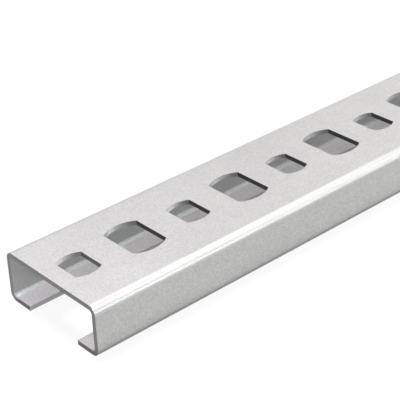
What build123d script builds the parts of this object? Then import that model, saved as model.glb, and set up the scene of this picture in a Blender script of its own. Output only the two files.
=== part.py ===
"""Slotted strut channel: a strip of zinc-coated sheet steel, punched and rolled into a light C section.

The channel lies along X with its web on top and its two lips on the floor. The origin is under its
middle, at the level of the lips' undersides. All sizes are in millimetres.
"""
from build123d import *
import os

# The bar
LENGTH = 200.0  # cut length, along X
WIDTH = 20.0  # over the two side walls, along Y
HEIGHT = 8.0  # from the lips' undersides to the top of the web
SHEET = 0.75  # thickness of the strip
INNER_BEND = 0.5  # inside radius of the four bends
LIP = 4.5  # reach of each lip, from the outside of its wall to its sheared edge

# The row of holes along the web's centre line, where small and large holes take turns
PITCH = 10.0  # from each hole's centre to the next
FIRST_HOLE = 5.0  # from the -X end to the first hole's centre
END_LAND = 1.5  # least metal left between the last hole and the +X end

# Each hole has two straight sides square to the bar and an arched side towards each wall
SMALL_WIDTH = 4.5  # between the straight sides, along X
SMALL_LENGTH = 6.0  # from the top of one arch to the other, along Y
SMALL_RISE = 0.67  # height of each arch
LARGE_WIDTH = 6.0
LARGE_LENGTH = 8.5
LARGE_RISE = 0.95

# What follows from them
OUTER_BEND = INNER_BEND + SHEET
MOUTH = WIDTH - 2 * LIP  # the gap between the lips
WEB_MIDDLE = HEIGHT - SHEET / 2


def rolled_section():
    """The C section on the YZ plane: web on top, a wall down each side, lips turned in below."""
    outside = RectangleRounded(WIDTH, HEIGHT, OUTER_BEND)
    inside = RectangleRounded(WIDTH - 2 * SHEET, HEIGHT - 2 * SHEET, INNER_BEND)
    mouth = Pos(0, -HEIGHT / 2) * Rectangle(MOUTH, HEIGHT)
    return Plane.YZ * Pos(0, HEIGHT / 2) * (outside - inside - mouth)


def punch(width, length, rise):
    """The punch for one hole, at the origin: straight sides along Y, an arch at either end."""
    side_x = width / 2
    shoulder_y = length / 2 - rise
    outline = Wire(
        [
            Line((side_x, -shoulder_y), (side_x, shoulder_y)),
            ThreePointArc((side_x, shoulder_y), (0, length / 2), (-side_x, shoulder_y)),
            Line((-side_x, shoulder_y), (-side_x, -shoulder_y)),
            ThreePointArc((-side_x, -shoulder_y), (0, -length / 2), (side_x, -shoulder_y)),
        ]
    )
    return extrude(Face(outline), amount=SHEET, both=True)


def hole_row():
    """Every punch in its place along the web: small, large, small, large from the -X end."""
    small = punch(SMALL_WIDTH, SMALL_LENGTH, SMALL_RISE)
    large = punch(LARGE_WIDTH, LARGE_LENGTH, LARGE_RISE)
    row = []
    centre = FIRST_HOLE
    while centre + LARGE_WIDTH / 2 + END_LAND <= LENGTH:
        hole = large if len(row) % 2 else small
        row.append(Pos(centre - LENGTH / 2, 0, WEB_MIDDLE) * hole)
        centre += PITCH
    return row


def strut_channel():
    """The whole bar, centred on X."""
    bar = extrude(rolled_section(), amount=LENGTH / 2, both=True)
    return bar - hole_row()


os.makedirs("parts", exist_ok=True)
channel = strut_channel()
export_step(channel, "parts/strut_channel.step")
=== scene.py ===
# %% [markdown]
# # A slotted strut channel
#
# Electricians and plumbers screw this light C-shaped bar to a wall and hang clamps and brackets from it.
# It is one strip of zinc-coated sheet steel: a press punches the row of holes, and rollers fold the strip
# into a web, two side walls and two lips. There is nothing to assemble, so this lesson is about finish and
# light. The bar arrives as a finished solid, and we give it the skin of rolled, zinc-coated steel, bare
# metal wherever a tool has cut it, and a plain white table with soft lamps to look at it by.

import math

import bmesh
import bpy
from mathutils import Matrix, Vector


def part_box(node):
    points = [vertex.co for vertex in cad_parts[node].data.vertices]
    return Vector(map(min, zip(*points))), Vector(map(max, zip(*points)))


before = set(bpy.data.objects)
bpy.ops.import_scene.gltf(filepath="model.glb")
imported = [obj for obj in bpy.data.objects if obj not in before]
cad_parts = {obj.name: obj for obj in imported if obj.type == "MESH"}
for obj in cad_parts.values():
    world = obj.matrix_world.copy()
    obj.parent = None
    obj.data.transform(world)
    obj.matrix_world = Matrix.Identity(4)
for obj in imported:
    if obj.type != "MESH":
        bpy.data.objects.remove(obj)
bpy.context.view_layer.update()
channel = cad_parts["strut_channel"]
low, high = (Vector(corner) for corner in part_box("strut_channel"))
length, width, height = high - low
MM = 0.001
print(f"bar {length / MM:.0f} x {width / MM:.0f} x {height / MM:.0f} mm")

# %% [markdown]
# ## The measures that the finish needs
#
# A material can't ask which face it is on, but it can ask where a point lies and which way the surface
# looks there. With the sheet's thickness, the lips' reach and the bends' radius, that is enough to tell a
# rolled face from a cut one. The rest comes from the bar's own box.

# %% Measures
sheet = 0.75 * MM
lip_reach = 4.5 * MM
outer_bend = 1.25 * MM
slack = 0.02 * MM  # for comparing places
mouth_half = width / 2 - lip_reach
web_half = width / 2 - outer_bend
print(f"mouth {2 * mouth_half / MM:.1f} mm, flat of the web {2 * web_half / MM:.1f} mm")

# %% [markdown]
# ## Small helpers for wiring nodes
#
# Long node trees read best as a few words. `Wires` holds one tree and has one short call for each kind of
# node that we use. Each call links the sockets it is given, writes in the numbers it is given, and returns
# an output.

# %% Node helpers
class Wires:
    """Adds nodes to one tree. A value that is a socket gets linked, and any other is written in."""

    def __init__(self, tree):
        self.tree = tree
        tree.nodes.clear()

    def put(self, socket, value):
        if isinstance(value, bpy.types.NodeSocket):
            self.tree.links.new(value, socket)
        else:
            socket.default_value = value

    def node(self, kind, **sockets):
        made = self.tree.nodes.new(kind)
        for name, value in sockets.items():
            self.put(made.inputs[name.replace("_", " ")], value)
        return made

    def math(self, operation, *values):
        made = self.tree.nodes.new("ShaderNodeMath")
        made.operation = operation
        for socket, value in zip(made.inputs, values):
            self.put(socket, value)
        return made.outputs[0]

    def both(self, first, *others):
        """Where all the masks hold, which is also the product of numbers."""
        for other in others:
            first = self.math("MULTIPLY", first, other)
        return first

    def either(self, first, *others):
        """Where any of the masks holds, which is also the largest of numbers."""
        for other in others:
            first = self.math("MAXIMUM", first, other)
        return first

    def above(self, value, limit):
        return self.math("GREATER_THAN", value, limit)

    def below(self, value, limit):
        return self.math("LESS_THAN", value, limit)

    def spread(self, pattern, low_end, high_end):
        """Maps a pattern of 0 to 1 onto a range."""
        return self.math("MULTIPLY_ADD", pattern, high_end - low_end, low_end)

    def scaled(self, colour, level):
        """A colour made lighter or darker by a number."""
        made = self.tree.nodes.new("ShaderNodeVectorMath")
        made.operation = "SCALE"
        self.put(made.inputs[0], colour)
        self.put(made.inputs["Scale"], level)
        return made.outputs[0]

    def choose(self, share, first, second, kind="Color"):
        """A mix of two colours, or of two numbers where the kind is Float."""
        made = self.tree.nodes.new("ShaderNodeMix")
        made.data_type = "RGBA" if kind == "Color" else "FLOAT"
        sockets = {one.identifier: one for one in [*made.inputs, *made.outputs]}
        for name, value in (("Factor_Float", share), ("A_" + kind, first), ("B_" + kind, second)):
            self.put(sockets[name], value)
        return sockets["Result_" + kind]

    def mix(self, share, first, second):
        """A mix of two shaders."""
        made = self.tree.nodes.new("ShaderNodeMixShader")
        for socket, value in zip(made.inputs, (share, first, second)):
            self.put(socket, value)
        return made.outputs[0]

    def noise(self, place, size, detail):
        """Soft noise with grains of about the given size."""
        return self.node("ShaderNodeTexNoise", Vector=place, Scale=1 / size, Detail=detail).outputs[0]


print("helpers ready:", ", ".join(name for name in vars(Wires) if not name.startswith("_")))

# %% [markdown]
# ## Where the bar was cut
#
# The zinc goes on before the strip is punched and sheared, so every cut shows plain steel: both ends, the
# long edges of the lips, and the walls of the holes. Each is found by place and by the way the face looks,
# and gets a mask that is 1 there and 0 elsewhere. A hole's wall doesn't get one tone all round; its tone
# follows which way it faces. The walls that face along -X get a dark tone, a painted shade, and the walls
# that face to the sides get a bright one, a painted light, so the arched sides go softly from bright to
# dark. The long edges of the lips get a bright tone as painted light too.

# %% Masks of the cut faces
FACES_ALONG = 0.9  # a face looks along an axis when its normal has at least this much of it
WALL_TILT = 0.5  # and a hole's wall has less than this much of +Z or -Z
SHADE_BY_FACING = -1.4  # from the X of a wall's normal to its share of painted shade, which ends at 1


def cut_faces(wires, place, facing):
    """Masks of the sheared ends, the slit edges of the lips and the holes' walls, and how much painted shade
    a wall gets by the way it faces.
    """
    x, y, z = (wires.math("ABSOLUTE", place[axis]) for axis in "XYZ")
    face_x, face_y, face_z = (wires.math("ABSOLUTE", facing[axis]) for axis in "XYZ")
    short_of_the_end = wires.below(x, length / 2 - slack)
    in_the_web = wires.both(wires.above(z, height - sheet - slack), wires.below(y, web_half))

    ends = wires.both(wires.above(x, length / 2 - slack), wires.above(face_x, FACES_ALONG))
    lips = wires.both(
        wires.below(y, mouth_half + slack),
        wires.below(z, sheet + slack),
        wires.above(face_y, FACES_ALONG),
    )
    holes = wires.both(in_the_web, short_of_the_end, wires.below(face_z, WALL_TILT))
    # painted shade on the hole walls that face along -X, none on those that face the sides
    torn = wires.math("MINIMUM", wires.either(wires.both(facing["X"], SHADE_BY_FACING), 0.0), 1.0)
    return ends, lips, holes, torn


print(f"ends are cut {length / 2 / MM:.0f} mm from the middle, and lips {mouth_half / MM:.1f} mm")

# %% [markdown]
# ## Where the rollers pressed, with a painted highlight
#
# The rollers bear hardest on the outside of each bend and iron the grain of the zinc there, which leaves it
# a little smoother. The tone there is also made a little brighter, a painted highlight, so that a bend
# carries a cleaner highlight than the flat faces do. The outside of a bend looks away from the middle of the
# bar's height, and the inside looks towards it, which tells them apart.

# %% Mask of the bends
def ironed_bends_with_painted_highlight(wires, place, facing):
    """A mask of the outer faces of the four bends, which get a smoother finish and a painted highlight."""
    beside = wires.math("ABSOLUTE", place["Y"])
    rise = wires.math("SUBTRACT", place["Z"], height / 2)
    return wires.both(
        wires.above(beside, web_half),
        wires.above(wires.math("ABSOLUTE", rise), height / 2 - outer_bend),
        wires.above(wires.both(rise, facing["Z"]), 0.0),
    )


# the outer faces of the bends get a smoother finish and a painted highlight
print(f"the bends are ironed in the outer {outer_bend / MM:.2f} mm of the width and of the height")

# %% [markdown]
# ## Zinc-coated sheet steel
#
# Strip galvanising leaves a thin, tight coat. From arm's length it is an even, pale grey metal with a soft
# shine. Close up it has several layers of detail: a grain like very fine sand, a softer mottle, a faint
# patchwork of zinc crystals a millimetre or two across, and slow, cloudy changes of tone. The rollers add
# hair-thin lines along the bar. All of them are noise or cell patterns in the bar's own coordinates, so
# they stay put on the metal. The sandy grain changes the colour most, and each of the others by a few
# percent at the most.

# %% Colours of the zinc and of bare steel
ZINC = (0.508, 0.508, 0.493)
STEEL = (1.0, 1.0, 1.01)
SHEARED, SLIT_PAINTED_LIGHT, TORN, RUBBED = 0.18, 0.70, 0.14, 0.86  # how bright each kind of cut is; the slit lips and the rubbed walls are painted light, the walls that face -X painted shade
print(f"rubbed steel is {RUBBED / TORN:.0f} times as bright as torn steel")

# %% [markdown]
# ## From patterns to a tone
#
# Each pattern runs from 0 to 1. `spread` turns it into a factor around 1, and the product of the factors
# is the tone, by which the colour of the zinc is multiplied. The grain and the lines are handed back too,
# because they also make the relief, and so are the crystals, because each lies at its own angle and has
# its own shine.

# %% Patterns of the zinc
GRAIN = 0.22 * MM
MOTTLE = 0.85 * MM
CRYSTAL = 1.6 * MM
LINE = 0.4 * MM  # across the bar
LINE_STRETCH = 0.03  # the smaller it is, the longer a line runs along the bar
CLOUD = 9 * MM


def zinc_patterns(wires, place):
    """The grain, the lines and the crystals, and the tone that all the patterns make together."""
    grain = wires.noise(place, GRAIN, detail=1.5)
    mottle = wires.noise(place, MOTTLE, detail=1.0)
    clouds = wires.noise(place, CLOUD, detail=2.0)
    cells = wires.node("ShaderNodeTexVoronoi", Vector=place, Scale=1 / CRYSTAL)
    crystals = wires.node("ShaderNodeSeparateColor", Color=cells.outputs["Color"]).outputs[0]
    along = wires.node("ShaderNodeMapping", Vector=place, Scale=(LINE_STRETCH, 1.0, 1.0)).outputs[0]
    lines = wires.noise(along, LINE, detail=3.0)
    tone = wires.both(
        wires.spread(grain, 0.70, 1.30),
        wires.spread(mottle, 0.98, 1.02),
        wires.spread(clouds, 0.95, 1.05),
        wires.spread(crystals, 0.985, 1.015),
        wires.spread(lines, 0.985, 1.015),
    )
    return grain, lines, crystals, tone


print(f"patterns from {GRAIN / MM:.2f} mm, the grain, to {CLOUD / MM:.0f} mm, the clouds")

# %% [markdown]
# ## One material for the whole bar
#
# It is one piece of strip, so it has one material. The masks choose in it between coated and bare steel.
# The roughness and the bump move with the grain, because on metal a change of shine shows more than a change
# of colour. On the outside of the bends the tone is a little brighter, a painted highlight, and varies about
# half as much. Bare steel only has scuffs, and is shinier than the zinc. Its tone is raised as painted light
# on the lips' edges and on the hole walls that face the sides, and lowered as painted shade on those that
# face -X.

# %% The steel
SCUFF = 0.3 * MM
BEND_TONE_PAINTED_HIGHLIGHT = (0.54, 1.08)  # what a tone of 0 and a tone of 1 become on a bend: brighter than on the flats, a painted highlight, and calmer
BEND_SHINE = 0.85  # a bend's roughness, as a share of the flat faces'
CUT_ROUGHNESS = 0.25
METAL = 0.8  # the rest is the dull film that zinc gets in air
RELIEF = 0.01 * MM


def zinc_coated_steel():
    material = bpy.data.materials.new("zinc_coated_steel")
    material.use_nodes = True
    wires = Wires(material.node_tree)
    place = wires.node("ShaderNodeTexCoord").outputs["Object"]
    facing = wires.node("ShaderNodeNewGeometry").outputs["Normal"]
    places = wires.node("ShaderNodeSeparateXYZ", Vector=place).outputs
    facings = wires.node("ShaderNodeSeparateXYZ", Vector=facing).outputs

    ends, lips, holes, torn = cut_faces(wires, places, facings)
    cut = wires.either(ends, lips, holes)
    # hole walls go from painted light to painted shade as they turn to face -X, and the lips' edges get
    # painted light
    level = wires.both(holes, wires.spread(torn, RUBBED, TORN))
    for mask, strength in ((lips, SLIT_PAINTED_LIGHT), (ends, SHEARED)):
        level = wires.math("MULTIPLY_ADD", mask, strength, level)
    scuffs = wires.spread(wires.noise(place, SCUFF, detail=3.0), 0.92, 1.08)
    bare = wires.scaled(STEEL, wires.both(level, scuffs))

    grain, lines, crystals, tone = zinc_patterns(wires, place)
    bends = ironed_bends_with_painted_highlight(wires, places, facings)
    # a brighter, calmer tone on the bends, a painted highlight
    tone = wires.choose(bends, tone, wires.spread(tone, *BEND_TONE_PAINTED_HIGHLIGHT), kind="Float")
    coated = wires.scaled(ZINC, tone)

    skin_shine = wires.both(
        wires.spread(grain, 0.37, 0.43),
        wires.spread(crystals, 0.97, 1.03),
        wires.spread(bends, 1.0, BEND_SHINE),
    )
    cut_shine = wires.both(scuffs, CUT_ROUGHNESS)
    relief = wires.math("MULTIPLY_ADD", grain, 0.7, wires.both(lines, 0.3))
    surface = wires.node(
        "ShaderNodeBsdfPrincipled",
        Base_Color=wires.choose(cut, coated, bare),
        Metallic=METAL,
        Roughness=wires.choose(cut, skin_shine, cut_shine, kind="Float"),
        Normal=wires.node("ShaderNodeBump", Height=relief, Distance=RELIEF, Strength=0.4).outputs[0],
    )
    wires.node("ShaderNodeOutputMaterial", Surface=surface.outputs[0])
    return material


channel.data.materials.clear()
channel.data.materials.append(zinc_coated_steel())
print("finish:", channel.data.materials[0].name)

# %% [markdown]
# ## The camera
#
# It looks along the bar from the end with the first small hole, about thirty degrees down, close enough
# that the far end runs out of the picture. A long lens keeps the edges nearly parallel, and the camera
# leans over by about two degrees.

# %% Camera
def looking(azimuth, elevation, lean):
    """The camera's turn, as a matrix, for a heading (0 looks along +Y), an angle down and a lean."""
    turn, rise, tip = (math.radians(angle) for angle in (azimuth, elevation, lean))
    right = Vector((math.cos(turn), math.sin(turn), 0))
    back = Vector((math.sin(turn) * math.cos(rise), -math.cos(turn) * math.cos(rise), math.sin(rise)))
    up = back.cross(right)
    tipped_right = math.cos(tip) * right + math.sin(tip) * up
    tipped_up = math.cos(tip) * up - math.sin(tip) * right
    return Matrix((tipped_right, tipped_up, back)).transposed().to_4x4()


LENS = 118
DISTANCE = 192.307 * MM
aim = Vector((low.x + 28.316 * MM, 1.142 * MM, high.z))  # a spot on the web, not far from the open end
turned = looking(azimuth=-40.8, elevation=30.15, lean=-2.25)
camera = bpy.data.objects.new("camera", bpy.data.cameras.new("camera"))
camera.data.lens = LENS
camera.matrix_world = Matrix.Translation(aim) @ turned @ Matrix.Translation((0, 0, DISTANCE))
bpy.context.collection.objects.link(camera)
bpy.context.scene.camera = camera
print("camera at", [round(part / MM) for part in camera.matrix_world.translation], "mm")

# %% [markdown]
# ## A white table
#
# Bare metal has hardly any colour of its own: it shows what stands around it. On a white table, in a white
# room, it looks pale and clean. The table is a matt sheet that takes the bar's shadow. A lamp bright
# enough to make the sheet pure white would make the shadow's edge white too, so part of its white is a
# glow that only the camera and reflections see. It throws no light on the bar.

# %% The table
WHITE = (1.0, 1.0, 1.0, 1.0)
PAPER = (0.65, 0.65, 0.65, 1.0)
GLOW = 1.05
GLOW_SEEN = 0.88  # share of the table's white that is glow, to the camera
GLOW_REFLECTED = 0.2  # and in reflections, where the rest is the lit and shaded sheet
TABLE_HALF = 3.0  # metres


def white_table():
    mesh = bpy.data.meshes.new("table")
    shape = bmesh.new()
    bmesh.ops.create_grid(shape, x_segments=1, y_segments=1, size=TABLE_HALF)
    bmesh.ops.translate(shape, verts=shape.verts, vec=(0, 0, low.z - slack / 2))
    shape.to_mesh(mesh)
    shape.free()
    material = bpy.data.materials.new("white_table")
    material.use_nodes = True
    material.cycles.emission_sampling = "NONE"
    wires = Wires(material.node_tree)
    path = wires.node("ShaderNodeLightPath").outputs
    reflected = wires.either(path["Is Glossy Ray"], path["Is Transmission Ray"])
    share = wires.both(path["Is Camera Ray"], GLOW_SEEN)
    share = wires.either(share, wires.both(reflected, GLOW_REFLECTED))
    paper = wires.node("ShaderNodeBsdfDiffuse", Color=PAPER).outputs[0]
    glow = wires.node("ShaderNodeEmission", Color=WHITE, Strength=GLOW).outputs[0]
    wires.node("ShaderNodeOutputMaterial", Surface=wires.mix(share, paper, glow))
    mesh.materials.append(material)
    table = bpy.data.objects.new("table", mesh)
    bpy.context.collection.objects.link(table)
    return table


table = white_table()
print(f"table {2 * TABLE_HALF:.0f} m wide, of which the camera sees {GLOW_SEEN:.0%} as glow")

# %% [markdown]
# ## A white room
#
# The world around the scene can look white and still be dim as a lamp. It asks which kind of ray has come:
# the camera and reflections get full white, and the light that falls on the bar from all sides is less
# than a third of that. A brighter one would fill every shadow, and the bar would look flat.

# %% The room
SCATTERED = 0.3


def white_room():
    room = bpy.data.worlds.new("white_room")
    room.use_nodes = True
    room.cycles.sampling_method = "NONE"
    wires = Wires(room.node_tree)
    path = wires.node("ShaderNodeLightPath").outputs
    seen = wires.either(path["Is Camera Ray"], path["Is Glossy Ray"], path["Is Transmission Ray"])
    scattered = wires.node("ShaderNodeBackground", Color=WHITE, Strength=SCATTERED).outputs[0]
    shown = wires.node("ShaderNodeBackground", Color=WHITE, Strength=1.0).outputs[0]
    wires.node("ShaderNodeOutputWorld", Surface=wires.mix(seen, scattered, shown))
    return room


bpy.context.scene.world = white_room()
print("room:", bpy.context.scene.world.name)

# %% [markdown]
# ## Soft lamps
#
# A bend only looks round when something bright runs along it. The two lamps at the right do that: the
# bar's near top bend mirrors them from one end to the other. They are kept weak, or the web would glare at
# somebody who looks from behind. The strongest lamp is high on the left and shines in at the open end,
# onto the cut edges, the far wall and the lips. The fills throw no shadow. They stand in for the light
# that bounces about in the hollow, so that the lips can be seen through the holes. Faint tints, warm at
# the right, cool in front and rosy behind, keep the greys from being all alike.

# %% Lamps for the bar
LAMP_ACROSS, LAMP_AWAY = 0.32, 0.8  # metres
centre = Vector((low.x + 50 * MM, 0, height / 2))  # the middle of the part that the camera sees


def group_of(name, thing):
    group = bpy.data.collections.new(name)
    group.objects.link(thing)
    return group


BAR = group_of("lit_bar", channel)


def soft_lamp(name, toward, watts, tint=(1.0, 1.0, 1.0), shadow=True):
    """A round lamp that lights only the bar, out in a direction from the centre."""
    lamp = bpy.data.lights.new(name, "AREA")
    lamp.shape = "DISK"
    lamp.size = LAMP_ACROSS
    lamp.energy = watts
    lamp.color = tint
    lamp.use_shadow = shadow
    lamp.cycles.cast_shadow = shadow
    lamp.cycles.use_multiple_importance_sampling = shadow
    toward = Vector(toward).normalized()
    holder = bpy.data.objects.new(name, lamp)
    turned = toward.to_track_quat("Z", "Y").to_matrix().to_4x4()
    holder.matrix_world = Matrix.Translation(centre + toward * LAMP_AWAY) @ turned
    holder.light_linking.receiver_collection = BAR
    bpy.context.collection.objects.link(holder)


soft_lamp("right", (0.73, -0.42, 0.53), 0.47, tint=(1.0, 0.99, 0.96))
soft_lamp("high_right", (0.54, -0.22, 0.81), 0.34, tint=(1.0, 0.96, 0.87))
soft_lamp("high_left", (-0.50, -0.40, 0.77), 1.75)
soft_lamp("low_fill", (0.57, -0.80, 0.18), 0.43, tint=(1.0, 1.0, 0.98), shadow=False)
soft_lamp("high_fill", (0.54, 0.22, 0.81), 0.61, tint=(0.99, 0.97, 1.0), shadow=False)
soft_lamp("back_fill", (0.22, 0.54, 0.81), 0.94, tint=(0.99, 0.88, 1.0), shadow=False)
soft_lamp("front_fill", (0.22, -0.54, 0.81), 1.33, tint=(0.85, 0.91, 1.0), shadow=False)
soft_lamp("side_fill", (0.25, -0.94, 0.21), 0.44, tint=(0.81, 0.94, 1.0), shadow=False)
soft_lamp("far_fill", (0.73, 0.42, 0.53), 0.15, tint=(1.0, 0.85, 0.93), shadow=False)
print("lamps:", [light.name for light in bpy.data.lights])

# %% [markdown]
# ## A lamp for the table
#
# Light linking gives the table a lamp of its own, which lights the sheet and draws the bar's pale, soft
# shadow on it. It is a sun, because a sun is as strong far away as it is near, so the white runs on evenly
# to every side.

# %% The table's lamp
def table_lamp(toward, strength, softness):
    lamp = bpy.data.lights.new("table_light", "SUN")
    lamp.energy = strength
    lamp.angle = math.radians(softness)
    holder = bpy.data.objects.new("table_light", lamp)
    holder.rotation_mode = "QUATERNION"
    holder.rotation_quaternion = Vector(toward).to_track_quat("Z", "Y")
    holder.light_linking.receiver_collection = group_of("lit_table", table)
    bpy.context.collection.objects.link(holder)


table_lamp(toward=(0.05, 0.2, 0.98), strength=3.4, softness=17)
print("lit apart from the bar:", table.name)

# %% [markdown]
# ## How colours are shown
#
# Blender's usual view rolls bright tones off and dulls them. The Standard view shows each tone as the
# finish and the lamps make it, so the pale greys of the steel and the white of the paper come out plain.

# %% View
bpy.context.scene.view_settings.view_transform = "Standard"
print("view:", bpy.context.scene.view_settings.view_transform)

# %% [markdown]
